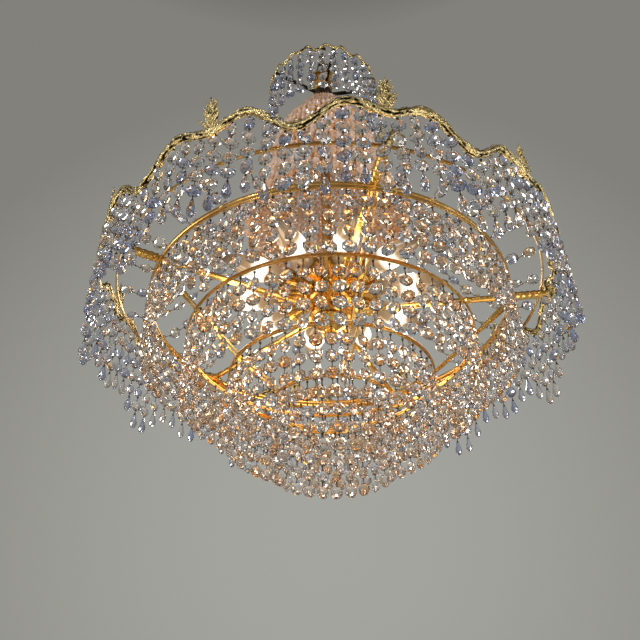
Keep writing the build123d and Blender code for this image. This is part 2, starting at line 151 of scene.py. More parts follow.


# Lead crystal: pressed and fire-polished cut stones, clear, with a warm or cool tint from stone to stone;
# the warm tint is painted bulb light and the cool tint is painted cool light from outside, each varied at
# random.
# The pressed peach beads of the bell are the same glass, less clear; their peach tint and lower clearness
# are painted warm glow of the bulbs inside the bell.
def crystalGlass(name, warm, cool, clearness, roughness):
    material, tree, shader = newMaterial(name)
    stone = addNode(tree, "ShaderNodeAttribute", attribute_name="tone")
    tint = addNode(tree, "ShaderNodeValToRGB", {"Fac": stone.outputs["Fac"]})
    tint.color_ramp.elements[0].color = linear(warm)
    tint.color_ramp.elements[1].color = linear(cool)
    tint.color_ramp.elements.new(0.5).color = linear("#ffffff")
    tree.links.new(tint.outputs["Color"], shader.inputs["Base Color"])
    shader.inputs["Transmission Weight"].default_value = clearness
    shader.inputs["IOR"].default_value = 1.56
    shader.inputs["Roughness"].default_value = roughness
    return material


# Lit candle bulb: blown glass, white at its belly, where the filament is, and dim amber towards both ends.
# Unlit it is nearly black, so the lamps add nothing to its own light.
def litBulb(name, heart, edge, ends, unlit, strength):
    material, tree, shader = newMaterial(name)
    reach = addNode(tree, "ShaderNodeAttribute", attribute_name="relief")
    glow = addNode(tree, "ShaderNodeValToRGB", {"Fac": reach.outputs["Fac"]})
    glow.color_ramp.elements[0].color = linear(ends)
    glow.color_ramp.elements[1].color = linear(heart)
    glow.color_ramp.elements.new(0.70).color = linear(edge)
    tree.links.new(glow.outputs["Color"], shader.inputs["Emission Color"])
    shader.inputs["Base Color"].default_value = linear(unlit)
    shader.inputs["Emission Strength"].default_value = strength
    shader.inputs["Roughness"].default_value = 0.25
    return material


# name, bright and deep tone, roughness, size of the clouds in the lacquer
metal = {
    "ring": giltBrass("gilt_brass_strip_lacquered", "#ecc47c", "#c2924a", 0.26, 0.05),
    "tube": giltBrass("gilt_brass_tube_polished", "#eec672", "#c6964a", 0.22, 0.03),
    "turned": giltBrass("gilt_brass_turned", "#e2b866", "#a67c3c", 0.24, 0.02),
    # the cast finish: pale painted highlight on the ridges, dark brown painted shade in the hollows
    "cast": castGilt("cast_brass_antique_gilt", "#ecd394", "#1f1608"),
    "pin": giltBrass("brass_pin_darkened", "#6d5a3c", "#2f271b", 0.40, 0.01),
    "dark": giltBrass("steel_bar_bronzed", "#4a4238", "#1f1b17", 0.38, 0.03),
}
# name, warm and cool tint, clearness, roughness
crystal = crystalGlass("lead_crystal_cut", "#ffdcb8", "#c6d0f2", 1.0, 0.03)
# bell beads: the peach tint and low clearness are painted glow of the bulbs inside the bell
peachBeadPaintedGlow = crystalGlass("glass_bead_peach_painted_glow", "#e6b078", "#fff0e0", 0.42, 0.10)
bulbGlow = litBulb("bulb_glass_lit", "#fff2de", "#66523a", "#30261b", "#1a140d", 3.2)

# tints of the stones, from 0 for the warm one over clear at 0.5 to 1 for the cool one; the warm tint is
# painted bulb light, so the inner tiers and the bell lean warm, and the cool tint is painted light from
# outside, so the outer fringe and crown lean cool
tints = {"tier": (0.0, 0.65), "outer": (0.35, 1.0), "slack": (0.1, 0.9), "bead": (0.0, 0.26)}


# node is the CAD node that the piece stands for, or None
def finishPiece(name, body, node, material, mesh, smooth=False):
    if smooth:
        for face in mesh.faces:
            face.smooth = True
    data = bpy.data.meshes.new(name)
    mesh.to_mesh(data)
    mesh.free()
    data.materials.append(material)
    piece = bpy.data.objects.new(name, data)
    bpy.context.scene.collection.objects.link(piece)
    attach(piece, body)
    if node:
        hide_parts(node)
    return piece


def setAttribute(piece, name, values):
    layer = piece.data.attributes.new(name, "FLOAT", "POINT")
    layer.data.foreach_set("value", values)


# a half section (distance from the axis, height) turned round Z; it starts and ends on the axis or is closed
def spunPiece(mesh, section, steps, place=Matrix.Identity(4), closed=False):
    verts = [mesh.verts.new((x, 0, z)) for x, z in section]
    edges = [mesh.edges.new(pair) for pair in zip(verts, verts[1:])]
    if closed:
        edges.append(mesh.edges.new((verts[-1], verts[0])))
    start = set(mesh.verts) - set(verts)
    bmesh.ops.spin(mesh, geom=verts + edges, axis=(0, 0, 1), cent=(0, 0, 0),
                   steps=steps, angle=whole, use_merge=True)
    made = [v for v in mesh.verts if v not in start]
    bmesh.ops.remove_doubles(mesh, verts=made, dist=1e-6)
    made = [v for v in mesh.verts if v not in start]
    faces = {f for v in made for f in v.link_faces}
    bmesh.ops.recalc_face_normals(mesh, faces=list(faces))
    bmesh.ops.transform(mesh, matrix=place, verts=made)
    return made


# copies of one stone, each in its own place, with a tint of its own
def setStones(name, node, material, stone, places, tones=(0.0, 1.0)):
    mesh = bmesh.new()
    for place in places:
        copy = stone.copy()
        copy.transform(place)
        mesh.from_mesh(copy)
        bpy.data.meshes.remove(copy)
    piece = finishPiece(name, "chandelier", node, material, mesh)
    size = len(stone.vertices)
    values = []
    for place in places:
        values += [dice.uniform(*tones)] * size
    setAttribute(piece, "tone", values)
    return piece


# one cut stone: rings of corners joined by flat facets, its table faces along X
def cutStone(name, rings, sides):
    mesh = bmesh.new()
    for depth, radius, turn in rings:
        circle = bmesh.ops.create_circle(mesh, cap_ends=False, segments=sides, radius=1.0)["verts"]
        shape = (shifted(depth, 0, 0) @ Matrix.Diagonal((1, radius, radius, 1))
                 @ Matrix.Rotation(math.radians(90), 4, "Y") @ Matrix.Rotation(math.radians(turn), 4, "Z"))
        bmesh.ops.transform(mesh, matrix=shape, verts=circle)
    bmesh.ops.convex_hull(mesh, input=mesh.verts)
    bmesh.ops.delete(mesh, geom=[e for e in mesh.edges if not e.link_faces], context="EDGES")
    bmesh.ops.dissolve_limit(mesh, angle_limit=math.radians(1), verts=mesh.verts, edges=mesh.edges)
    bmesh.ops.recalc_face_normals(mesh, faces=mesh.faces)
    data = bpy.data.meshes.new(name)
    mesh.to_mesh(data)
    mesh.free()
    return data


stones = {
    "octagonWidth": 0.0164,
    "octagonDepth": 0.0098,
    "octagonTable": 0.34,  # share of the width
    "octagonMid": 0.70,  # share of the width where the upper facets end
    "octagonShoulder": 0.66,  # how far out that is, share of half the depth
    "octagonGirdle": 0.12,
    "pitch": 0.0227,
    "dropLength": 0.0260,
    "dropWidth": 0.0108,
    "dropSides": 8,
    "beadSides": 6,
    "armHookDrop": 0.0160,
    "ringHookDrop": 0.0190,
    "rimHookDrop": 0.0120,
    "twist": 42.0,  # degrees that a hanging stone may turn on its pins
    "lean": 5.0,
    "pinWidth": 0.0011,
    "pinKnot": 0.0013,
    "pinLength": 0.0085,
    "hookWidth": 1.5,  # against a pin
    "hookReach": 0.9,  # where the hook meets the first stone, share of its half width
}
octagonSides = 8
halfSide = 180 / octagonSides  # degrees
halfWidth = stones["octagonWidth"] / 2 / math.cos(math.pi / octagonSides)
halfDepth = stones["octagonDepth"] / 2
tableHalf = halfWidth * stones["octagonTable"]
midHalf = halfWidth * stones["octagonMid"]
shoulder = halfDepth * stones["octagonShoulder"]
girdle = halfDepth * stones["octagonGirdle"]
octagonStone = cutStone("octagon", [
    (-halfDepth, tableHalf, 0),
    (-shoulder, midHalf, halfSide),
    (-girdle, halfWidth, halfSide),
    (girdle, halfWidth, halfSide),
    (shoulder, midHalf, halfSide),
    (halfDepth, tableHalf, 0),
], octagonSides)

# a drop: narrow facetted neck over a full round belly
dropHalf = stones["dropLength"] / 2
dropRadius = stones["dropWidth"] / 2


# a stone built from level rings, each turned half a side against the last
def turnedStone(name, stations, sides):
    mesh = bmesh.new()
    for index, (level, radius) in enumerate(stations):
        circle = bmesh.ops.create_circle(mesh, cap_ends=False, segments=sides, radius=radius)["verts"]
        turn = Matrix.Rotation(math.pi / sides * (index % 2), 4, "Z")
        bmesh.ops.transform(mesh, matrix=shifted(0, 0, level) @ turn, verts=circle)
    bmesh.ops.convex_hull(mesh, input=mesh.verts)
    bmesh.ops.delete(mesh, geom=[e for e in mesh.edges if not e.link_faces], context="EDGES")
    bmesh.ops.recalc_face_normals(mesh, faces=mesh.faces)
    data = bpy.data.meshes.new(name)
    mesh.to_mesh(data)
    mesh.free()
    return data


dropStone = turnedStone("drop", [
    (dropHalf, dropRadius * 0.18),
    (dropHalf * 0.30, dropRadius * 0.48),
    (-dropHalf * 0.16, dropRadius * 0.92),
    (-dropHalf * 0.48, dropRadius * 1.00),
    (-dropHalf * 0.78, dropRadius * 0.76),
    (-dropHalf * 0.98, dropRadius * 0.30),
], stones["dropSides"])
# about one unit high, scaled to its place on the bell
beadStone = turnedStone("bead", [
    (0.46, 0.16),
    (0.14, 0.47),
    (-0.14, 0.47),
    (-0.46, 0.16),
], stones["beadSides"])

# the pin that links two stones, with a knot at each end
pinMesh = bmesh.new()
bmesh.ops.create_cone(pinMesh, cap_ends=True, segments=4, radius1=stones["pinWidth"] / 2,
                      radius2=stones["pinWidth"] / 2, depth=stones["pinLength"])
for end in (-1, 1):
    knot = shifted(0, 0, end * (stones["pinLength"] / 2 - stones["pinKnot"] / 2))
    bmesh.ops.create_icosphere(pinMesh, subdivisions=1, radius=stones["pinKnot"], matrix=knot)
pinStone = bpy.data.meshes.new("pin")
pinMesh.to_mesh(pinStone)
pinMesh.free()


# level of a wavy rim at this many degrees from the middle of a lobe
def wave(offset, mean, lobeSwing, notchSwing):
    phase = math.radians(offset * lobes)
    return mean + lobeSwing * math.cos(phase) - notchSwing * math.cos(2 * phase)


# places of the stones and pins of one strand that hangs at an angle and radius below its hook
def strand(angle, radius, hookLevel, hookDrop, count, withDrop=False):
    places, drops, pins = [], [], []
    base = turned(angle) @ shifted(radius, 0, armLevel + hookLevel)
    hookLength = hookDrop - halfWidth * stones["hookReach"]
    wider = Matrix.Diagonal((stones["hookWidth"], stones["hookWidth"], hookLength / stones["pinLength"], 1))
    pins.append(base @ shifted(0, 0, -hookLength / 2) @ wider)
    for index in range(count):
        level = -hookDrop - index * stones["pitch"]
        swing = turned(dice.uniform(-stones["twist"], stones["twist"]))
        lean = Matrix.Rotation(math.radians(dice.uniform(-stones["lean"], stones["lean"])), 4, "X")
        places.append(base @ shifted(0, 0, level) @ swing @ lean)
        if index < count - 1 or withDrop:
            pins.append(base @ shifted(0, 0, level - stones["pitch"] / 2))
    if withDrop:
        level = -hookDrop - (count - 0.5) * stones["pitch"] - dropHalf
        drops.append(base @ shifted(0, 0, level))
    return places, drops, pins


print("stage: tier chains")
tierStones = 4  # octagons in each chain
tiers = {
    "chains_b": {"radius": 0.2505, "count": 75, "underside": -0.0145, "hookDrop": stones["armHookDrop"]},
    "chains_c": {"radius": 0.1940, "count": 60, "underside": -0.0655, "hookDrop": stones["ringHookDrop"]},
    "chains_d": {"radius": 0.1340, "count": 45, "underside": -0.1185, "hookDrop": stones["ringHookDrop"]},
    "chains_e": {"radius": 0.0750, "count": 25, "underside": -0.1545, "hookDrop": stones["ringHookDrop"]},
}
for node, tier in tiers.items():
    places, pins = [], []
    for index in range(tier["count"]):
        angle = front + 180 / tier["count"] + 360 / tier["count"] * index
        own, _, ownPins = strand(angle, tier["radius"], tier["underside"], tier["hookDrop"], tierStones)
        places += own
        pins += ownPins
    setStones(node + "_stones", node, crystal, octagonStone, places, tints["tier"])
    setStones(node + "_pins", None, metal["pin"], pinStone, pins)

print("stage: rim fringe and crown strands")
rim = {
    "radius": 0.3240, "level": 0.0330, "lobeSwing": 0.0130, "notchSwing": 0.0130,
    "height": 0.0160, "width": 0.0100, "steps": 1400, "ribs": 18, "scales": 7,
    "chainsPerLobe": 10, "crystals": 4, "inset": 0.0015, "drops": True,
}
crown = {
    "radius": 0.1000, "level": 0.5150, "lobeSwing": 0.0040, "notchSwing": 0.0050,
    "height": 0.0088, "width": 0.0058, "steps": 400, "ribs": 10, "scales": 4,
    "chainsPerLobe": 3, "crystals": 5, "inset": 0.0030, "drops": False,
}
for spec, node in ((rim, "rim_chains"), (crown, "crown_chains")):
    places, drops, pins = [], [], []
    for lobe in range(lobes):
        for index in range(spec["chainsPerLobe"]):
            offset = lobeAngle * ((index + 0.5) / spec["chainsPerLobe"] - 0.5)
            middle = wave(offset, spec["level"], spec["lobeSwing"], spec["notchSwing"])
            own, ownDrops, ownPins = strand(
                front + lobeAngle * lobe + offset, spec["radius"] - spec["inset"],
                middle - spec["height"] / 2, stones["rimHookDrop"], spec["crystals"], spec["drops"])
            places += own
            drops += ownDrops
            pins += ownPins
    setStones(node + "_stones", node, crystal, octagonStone, places, tints["outer"])
    setStones(node + "_pins", None, metal["pin"], pinStone, pins)
    if drops:
        setStones(node + "_drops", None, crystal, dropStone, drops, tints["outer"])

print("stage: slack chains")
slack = {
    "count": 30, "stones": 10, "lift": 0.0035, "turn": (30, 150),  # degrees
    "start": (0.1295, 0.1498), "bend": (0.2120, -0.0390), "end": (0.2984, 0.0043),  # distance, level
    "hookInward": 0.14,  # share of a link by which the first pin sits nearer its ring
    "steps": 200,
}
curve = []
for step in range(slack["steps"] + 1):
    share = step / slack["steps"]
    near, middle, far = (1 - share) ** 2, 2 * share * (1 - share), share ** 2
    distance, level = (near * slack["start"][k] + middle * slack["bend"][k] + far * slack["end"][k]
                       for k in (0, 1))
    curve.append(Vector((distance, 0, armLevel + level)))
runs = [(b - a).length for a, b in zip(curve, curve[1:])]


# the place on the slack curve at this share of its length
def slackPoint(share):
    left = share * sum(runs)
    for index, run in enumerate(runs):
        if left <= run:
            return curve[index].lerp(curve[index + 1], left / run)
        left -= run
    return curve[-1]


links = [slackPoint(step / slack["stones"]) for step in range(slack["stones"] + 1)]
places, pins = [], []
for index in range(slack["count"]):
    base = turned(front + 180 / slack["count"] + 360 / slack["count"] * index)
    for start, end in zip(links, links[1:]):
        along = (end - start).normalized()
        tilt = Matrix.Rotation(math.atan2(along.x, along.z), 4, "Y")
        lift = Vector((-along.z, 0, along.x)) * slack["lift"]
        spin = turned(dice.uniform(*slack["turn"]))
        places.append(base @ Matrix.Translation((start + end) / 2 + lift) @ tilt @ spin)
        inward = slack["hookInward"] if start == links[0] else 0.0
        pins.append(base @ Matrix.Translation(start.lerp(end, inward) + lift) @ tilt)
setStones("swags_stones", "swags", crystal, octagonStone, places, tints["slack"])
setStones("swags_pins", None, metal["pin"], pinStone, pins)

print("stage: bell")
bell = {
    "outline": [(0.132, 0.150), (0.082, 0.385), (0.0455, 0.4570), (0.0435, 0.4640), (0.0330, 0.4710)],
    "inset": 0.0035, "strands": 60, "beadShare": 1.02, "largest": 0.0132,
    "pitchShare": 0.98, "longer": 1.12, "overlap": 1.16,  # bead pitch and length against its width
    "stray": 0.22,  # share of the room between two strands
    "spread": (0.92, 1.10), "slopeReach": 0.004, "topDrop": 0.003,
}
beadSide = 360 / stones["beadSides"]  # degrees that a bead may turn before it looks the same


def bellRadius(level):
    for (lowRadius, low), (highRadius, high) in zip(bell["outline"], bell["outline"][1:]):
        if level <= high:
            share = (level - low) / (high - low)
            return lowRadius + (highRadius - lowRadius) * share - bell["inset"]
    return bell["outline"][-1][0] - bell["inset"]


places = []
for index in range(bell["strands"]):
    angle = front + 360 / bell["strands"] * index
    level = bell["outline"][-1][1] - bell["topDrop"]
    odd = index % 2
    while True:
        radius = bellRadius(level)
        wide = min(bell["largest"], whole * radius / bell["strands"] * bell["beadShare"])
        if odd:  # every other strand starts half a bead lower, so the beads interlock
            level -= wide / 2
            odd = 0
        reach = bell["slopeReach"]
        slope = math.atan2(bellRadius(level - reach) - bellRadius(level + reach), 2 * reach)
        drop = wide * bell["longer"] * bell["pitchShare"]
        middle = level - drop * math.cos(slope) / 2
        if middle - wide * 0.5 < bell["outline"][0][1]:
            break
        stray = dice.uniform(-bell["stray"], bell["stray"]) * 360 / bell["strands"]
        lay = (turned(angle + stray) @ shifted(bellRadius(middle), 0, armLevel + middle)
               @ Matrix.Rotation(-slope, 4, "Y") @ turned(dice.uniform(0, beadSide)))
        full = wide * dice.uniform(*bell["spread"])
        places.append(lay @ Matrix.Diagonal((full, full, wide * bell["overlap"], 1)))
        level -= drop * math.cos(slope)
print("bell beads", len(places))
setStones("bell_beads", "bell_chains", peachBeadPaintedGlow, beadStone, places, tints["bead"])

print("stage: rings")
rings = {
    "ring_a": {"radius": 0.2990, "middle": 0.0070, "height": 0.0050, "beads": 2},
    "ring_b": {"radius": 0.2535, "middle": -0.0095, "height": 0.0100, "beads": 2},
    "ring_c": {"radius": 0.1970, "middle": -0.0630, "height": 0.0050, "beads": 2},
    "ring_d": {"radius": 0.1370, "middle": -0.1160, "height": 0.0050, "beads": 2},
    "ring_e": {"radius": 0.0780, "middle": -0.1520, "height": 0.0050, "beads": 2},
}
halfThick = 0.00125
stripEdge = 0.18  # share of a raised line at which the strip's edge lies
ringSteps = 180
# one raised line of the strip, between two grooves: shares of the thickness and of its height
beadShape = [(0.10, 0.0), (0.10, 0.10), (0.84, 0.18), (1.0, 0.32), (1.0, 0.68), (0.84, 0.82), (0.10, 0.90)]
for node, ring in rings.items():
    bead = ring["height"] / (ring["beads"] - 2 * stripEdge)
    side = []
    for index in range(ring["beads"]):
        side += [(reach * halfThick, (index + share - stripEdge) * bead - ring["height"] / 2)
                 for reach, share in beadShape]
    side = side[2:-1]  # the strip starts and ends on a raised line, not in a groove
    section = side + [(-x, z) for x, z in reversed(side)]
    mesh = bmesh.new()
    spunPiece(mesh, [(ring["radius"] + x, ring["middle"] + z) for x, z in section],
              ringSteps, shifted(0, 0, armLevel), closed=True)
    finishPiece(node + "_strip", "chandelier", node, metal["ring"], mesh)


# relief of the cast rims: twisted reeds, overlapping scales, grit and slow swells
carving = {
    "mean": 0.30, "least": 0.46,  # least thickness left, share of the full one
    "reeds": 5, "reedTwist": 2, "reedDepth": 0.22,
    "scaleDepth": 0.46, "scaleCurve": 1.8, "scaleLap": 0.30, "scaleRows": 3,
    "gritDepth": 0.42, "gritScale": 190, "swellDepth": 0.36, "swellScale": 42,  # scales per metre
}


# a cast rim: a round cord spun into a circle, then waved, twisted and carved
def castRim(name, node, spec, material):
    mesh = bmesh.new()
    section = []
    for index in range(spec["ribs"]):
        turn = whole * index / spec["ribs"]
        section.append((spec["radius"] + math.cos(turn) * spec["width"] / 2,
                        math.sin(turn) * spec["height"] / 2))
    spunPiece(mesh, section, spec["steps"], closed=True)
    relief = {}
    for vert in mesh.verts:
        angle = math.atan2(vert.co.y, vert.co.x)
        away = math.hypot(vert.co.x, vert.co.y) - spec["radius"]
        around = math.atan2(vert.co.z / spec["height"], away / spec["width"])
        reeds = math.cos(around * carving["reeds"] + angle * lobes * carving["reedTwist"])
        lap = carving["scaleLap"] * math.cos(around * carving["scaleRows"])
        scale = (angle / whole * lobes * spec["scales"] + lap) % 1
        grit = noise.noise(vert.co * carving["gritScale"])
        swell = noise.noise(vert.co * carving["swellScale"])
        carve = (carving["mean"] + carving["reedDepth"] * reeds
                 + carving["scaleDepth"] * scale ** carving["scaleCurve"]
                 + carving["gritDepth"] * grit + carving["swellDepth"] * swell)
        grow = carving["least"] + (1 - carving["least"]) * min(1, max(0, carve))
        relief[vert.index] = carve
        flat = outward(math.degrees(angle))
        offset = math.degrees(angle) - front
        rise = wave(offset, spec["level"], spec["lobeSwing"], spec["notchSwing"])
        lift = Vector((0, 0, armLevel + rise + vert.co.z * grow))
        vert.co = flat * (spec["radius"] + away * grow) + lift
    mesh.verts.index_update()
    # the carved relief, which the cast finish paints pale on the ridges as a painted highlight and dark
    # brown in the hollows as painted shade
    values = [relief[v.index] for v in mesh.verts]
    piece = finishPiece(name, "chandelier", node, material, mesh, smooth=True)
    setAttribute(piece, "relief", values)


print("stage: cast rims and leaves")
castRim("main_rim_cast", "main_rim", rim, metal["cast"])
castRim("crown_rim_cast", "crown_rim", crown, metal["cast"])

# how a small cast blade is divided, where its belly lies, how full it is and how far its tip curls
bladeForm = {"around": 8, "rings": 6, "low": 0.75, "full": 0.8, "curl": 0.9}
leaf = {
    "radius": 0.3226, "height": 0.057, "width": 0.026, "thick": 0.0050, "pairs": 9, "foot": 0.0400,
    "spineWidth": 0.22, "bladeWidth": 0.17, "bladeThick": 1.1,  # shares of the leaf's own
    "spread": 0.62, "rootDrop": 0.02, "bladeLength": 0.44, "shorter": 0.10, "uneven": (0.80, 1.12),
    "splay": 33, "splayLess": 22, "splayStray": 7, "twist": 35,  # degrees
    "roughDepth": 0.0022, "roughScale": 240,
    "wornMean": 0.50, "wornSpread": 0.6, "wornScale": 300,
}


# one blade: a flattened spindle that curls outward, root at the origin, tip along Z
def blade(mesh, length, width, thick, place):
    made = bmesh.ops.create_uvsphere(mesh, u_segments=bladeForm["around"], v_segments=bladeForm["rings"],
                                     radius=0.5)["verts"]
    for vert in made:
        share = vert.co.z + 0.5
        belly = 0
        if 0 < share < 1:
            belly = math.sin(math.pi * min(1, share ** bladeForm["low"])) ** bladeForm["full"]
        ring = math.hypot(vert.co.x, vert.co.y) or 1
        edge = vert.co.x / ring
        curl = thick * bladeForm["curl"] * share ** 2
        vert.co = Vector((vert.co.y / ring * belly * thick / 2 + curl,
                          edge * belly * width / 2, share * length))
    bmesh.ops.transform(mesh, matrix=place, verts=made)


# how bright the gilding is from place to place, for the cast finish
def wornValues(mesh, mean, spread, scale):
    return [mean + spread * noise.noise(vert.co * scale) for vert in mesh.verts]


def leafCluster(mesh, place):
    high, wide, thick = leaf["height"], leaf["width"], leaf["thick"]
    blade(mesh, high, wide * leaf["spineWidth"], thick, place)
    for pair in range(leaf["pairs"]):
        share = pair / leaf["pairs"]
        level = high * (leaf["spread"] * share - leaf["rootDrop"])
        for side in (-1, 1):
            length = high * (leaf["bladeLength"] - leaf["shorter"] * share) * dice.uniform(*leaf["uneven"])
            stray = dice.uniform(-leaf["splayStray"], leaf["splayStray"])
            splay = side * math.radians(leaf["splay"] - leaf["splayLess"] * share + stray)
            lean = Matrix.Rotation(splay, 4, "X")
            twist = turned(dice.uniform(-leaf["twist"], leaf["twist"]))
            blade(mesh, length, wide * leaf["bladeWidth"], thick * leaf["bladeThick"],
                  place @ shifted(0, 0, level) @ lean @ twist)


mesh = bmesh.new()
for index in range(lobes):
    place = turned(front + lobeAngle * index) @ shifted(leaf["radius"], 0, armLevel + leaf["foot"])
    leafCluster(mesh, place)
for vert in mesh.verts:
    away = outward(math.degrees(math.atan2(vert.co.y, vert.co.x)))
    vert.co += away * leaf["roughDepth"] * noise.noise(vert.co * leaf["roughScale"])
values = wornValues(mesh, leaf["wornMean"], leaf["wornSpread"], leaf["wornScale"])
leaves = finishPiece("rim_leaves_cast", "chandelier", "rim_leaves", metal["cast"], mesh,
                     smooth=True)
setAttribute(leaves, "relief", values)

print("stage: arms and hub")
arm = {
    "start": 0.030, "end": 0.306, "radius": 0.0043, "sides": 20,
    "collars": [  # distance, radius, length
        (0.036, 0.0072, 0.010),
        (0.120, 0.0054, 0.006),
        (0.196, 0.0056, 0.007),
    ],
    "collarShoulder": 0.86, "collarFlank": 0.42, "collarCrown": 0.2,  # shares of its radius and length
    "sleeve": (0.2552, 0.2973), "sleeveRadius": 0.0062, "sleeveWaist": 0.0053, "sleeveSwells": 5,
}
alongX = Matrix.Rotation(math.radians(90), 4, "Y")
for index in range(arms):
    profile = [(0, arm["start"]), (arm["radius"], arm["start"])]
    for distance, radius, length in arm["collars"]:
        rise = radius * arm["collarShoulder"]
        flank = length * arm["collarFlank"]
        crest = length * arm["collarCrown"]
        profile += [(arm["radius"], distance - length / 2), (rise, distance - flank),
                    (radius, distance - crest), (radius, distance + crest),
                    (rise, distance + flank), (arm["radius"], distance + length / 2)]
    first, last = arm["sleeve"]
    profile.append((arm["radius"], first))
    sleeveSteps = 4 * arm["sleeveSwells"]
    for step in range(sleeveSteps + 1):
        share = step / sleeveSteps
        swell = abs(math.cos(math.pi * share * arm["sleeveSwells"]))
        reach = arm["sleeveWaist"] + (arm["sleeveRadius"] - arm["sleeveWaist"]) * swell
        profile.append((reach, first + (last - first) * share))
    profile.append((arm["radius"], last))
    profile += [(arm["radius"], arm["end"]), (0, arm["end"])]
    mesh = bmesh.new()
    spunPiece(mesh, profile, arm["sides"],
              turned(front + armAngle * index) @ shifted(0, 0, armLevel) @ alongX)
    node = f"arm_{index + 1}"
    finishPiece(node + "_tube", "chandelier", node, metal["tube"], mesh)

# a knob at the arm's end with pairs of small leaves that open upward and outward
bracket = {
    "distance": 0.3080, "knob": 0.0062, "pairs": 5,
    "length": 0.030, "shorter": 0.004, "width": 0.0075, "thick": 0.004, "step": 0.001, "drop": 0.004,
    "lean": -6, "leanStep": 12, "splay": 8, "splayStep": 9,  # degrees
    "limit": 0.3183,  # clear of the rim
    "wornMean": 0.45, "wornSpread": 0.6, "wornScale": 200,
}
mesh = bmesh.new()
for index in range(arms):
    base = turned(front + armAngle * index) @ shifted(bracket["distance"], 0, armLevel)
    bmesh.ops.create_uvsphere(mesh, u_segments=12, v_segments=8, radius=bracket["knob"], matrix=base)
    for pair in range(bracket["pairs"]):
        root = base @ shifted(bracket["step"] * pair, 0, -bracket["drop"])
        lean = Matrix.Rotation(math.radians(bracket["lean"] + bracket["leanStep"] * pair), 4, "Y")
        length = bracket["length"] - bracket["shorter"] * pair
        for side in (-1, 1):
            angle = side * math.radians(bracket["splay"] + bracket["splayStep"] * pair)
            splay = Matrix.Rotation(angle, 4, "X")
            blade(mesh, length, bracket["width"], bracket["thick"], root @ lean @ splay)
for vert in mesh.verts:
    away = math.hypot(vert.co.x, vert.co.y)
    if away > bracket["limit"]:
        vert.co.x *= bracket["limit"] / away
        vert.co.y *= bracket["limit"] / away
values = wornValues(mesh, bracket["wornMean"], bracket["wornSpread"], bracket["wornScale"])
brackets = finishPiece("arm_brackets_cast", "chandelier", "arm_brackets", metal["cast"], mesh,
                       smooth=True)
setAttribute(brackets, "relief", values)

# half sections, distance from the axis and level
hub = {
    "body": [(0, -0.0140), (0.0270, -0.0140), (0.0296, -0.0110), (0.0296, -0.0060), (0.0270, -0.0030),
             (0.0270, 0.0180), (0.0296, 0.0210), (0.0296, 0.0470), (0.0270, 0.0500), (0, 0.0500)],
    "cover": [(0, 0.0500), (0.0270, 0.0500), (0.0262, 0.0540), (0.0220, 0.0570), (0.0140, 0.0590),
              (0.0104, 0.0620), (0, 0.0620)],
    "finial": [(0, -0.0510), (0.0016, -0.0508), (0.0052, -0.0480), (0.0092, -0.0440), (0.0110, -0.0405),
               (0.0096, -0.0370), (0.0066, -0.0345), (0.0074, -0.0325), (0.0120, -0.0295),
               (0.0180, -0.0250), (0.0240, -0.0205), (0.0262, -0.0185), (0.0262, -0.0165),
               (0.0240, -0.0140), (0, -0.0140)],
}
hubSides = 48
for part in ("body", "cover", "finial"):
    mesh = bmesh.new()
    spunPiece(mesh, hub[part], hubSides, shifted(0, 0, armLevel))
    finishPiece(f"hub_{part}_turned", "chandelier", f"hub_{part}", metal["turned"], mesh)

bulbs = {
    "count": 10, "level": 0.037, "cupStart": 0.030, "cupEnd": 0.075, "clearance": 0.0002, "sides": 20,
    "flutes": 14, "fluteDepth": 0.13, "fluteStart": 0.006, "fluteRise": 0.02,
    "heart": 0.042, "heartReach": 0.05,  # where the filament glows and how far, along the bulb
}
bulbAngle = 360.0 / bulbs["count"]
cupSection = [(0, 0), (0.0072, 0), (0.0080, 0.003), (0.0064, 0.006), (0.0080, 0.012), (0.0125, 0.026),
              (0.0156, 0.036), (0.0162, 0.0445), (0.0150, 0.0448), (0.0138, 0.036), (0, 0.030)]
mesh = bmesh.new()
for index in range(bulbs["count"]):
    place = (turned(front + bulbAngle * index)
             @ shifted(bulbs["cupStart"], 0, armLevel + bulbs["level"]) @ alongX)
    made = spunPiece(mesh, cupSection, bulbs["flutes"] * 2)
    for vert in made:
        share = min(1, max(0, (vert.co.z - bulbs["fluteStart"]) / bulbs["fluteRise"]))
        around = math.atan2(vert.co.y, vert.co.x) * bulbs["flutes"]
        shrink = 1 - bulbs["fluteDepth"] * share * (0.5 - 0.5 * math.cos(around))
        vert.co.x *= shrink
        vert.co.y *= shrink
    bmesh.ops.transform(mesh, matrix=place, verts=made)
finishPiece("bulb_cups_fluted", "chandelier", "bulb_cups", metal["turned"], mesh)

bulbSection = [(0, 0), (0.0108, 0), (0.0112, 0.010), (0.0140, 0.018), (0.0168, 0.028), (0.0175, 0.038),
               (0.0170, 0.048), (0.0150, 0.060), (0.0118, 0.072), (0.0080, 0.083), (0.0044, 0.092),
               (0.0020, 0.0975), (0, 0.0995)]
for index in range(bulbs["count"]):
    mesh = bmesh.new()
    place = (turned(front + bulbAngle * index)
             @ shifted(bulbs["cupEnd"] + bulbs["clearance"], 0, armLevel + bulbs["level"]) @ alongX)
    spunPiece(mesh, bulbSection, bulbs["sides"])
    mesh.verts.index_update()
    reach = [max(0.0, 1 - abs(v.co.z - bulbs["heart"]) / bulbs["heartReach"]) for v in mesh.verts]
    bmesh.ops.transform(mesh, matrix=place, verts=mesh.verts)
    bulb = finishPiece(f"bulb_{index + 1}_glass", "chandelier", f"bulb_{index + 1}", bulbGlow,
                       mesh, smooth=True)
    setAttribute(bulb, "relief", reach)

